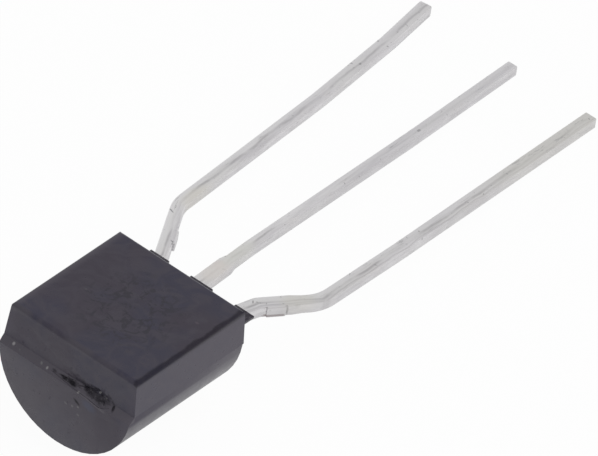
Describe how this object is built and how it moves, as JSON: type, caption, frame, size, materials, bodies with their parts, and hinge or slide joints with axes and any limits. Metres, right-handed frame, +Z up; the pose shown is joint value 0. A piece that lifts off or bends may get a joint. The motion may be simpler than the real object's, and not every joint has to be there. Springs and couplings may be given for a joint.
{
  "type": "transistor",
  "caption": "Small plastic transistor with a flat marking face, a round back and long tinned leads, the outer ones spread by a bend near the body.",
  "frame": {"origin": "middle of the box round the part, on the surface it lies on", "axes": "+Y from the plain end of the body towards the lead tips, +Z up with the flat face on top, +X to the right when the leads point away"},
  "size_m": [0.0066, 0.0196, 0.004],
  "materials": {
    "moulding": "satin moulded epoxy, charcoal",
    "tinned_lead": "dull hot-dipped tin",
    "silicon": "polished silicon",
    "bond_wire": "drawn gold"
  },
  "bodies": {
    "root": {"body": "moulding", "lead_left": "tinned_lead", "lead_middle": "tinned_lead", "lead_right": "tinned_lead", "die": "silicon", "wire_left": "bond_wire", "wire_right": "bond_wire"}
  },
  "joints": []
}
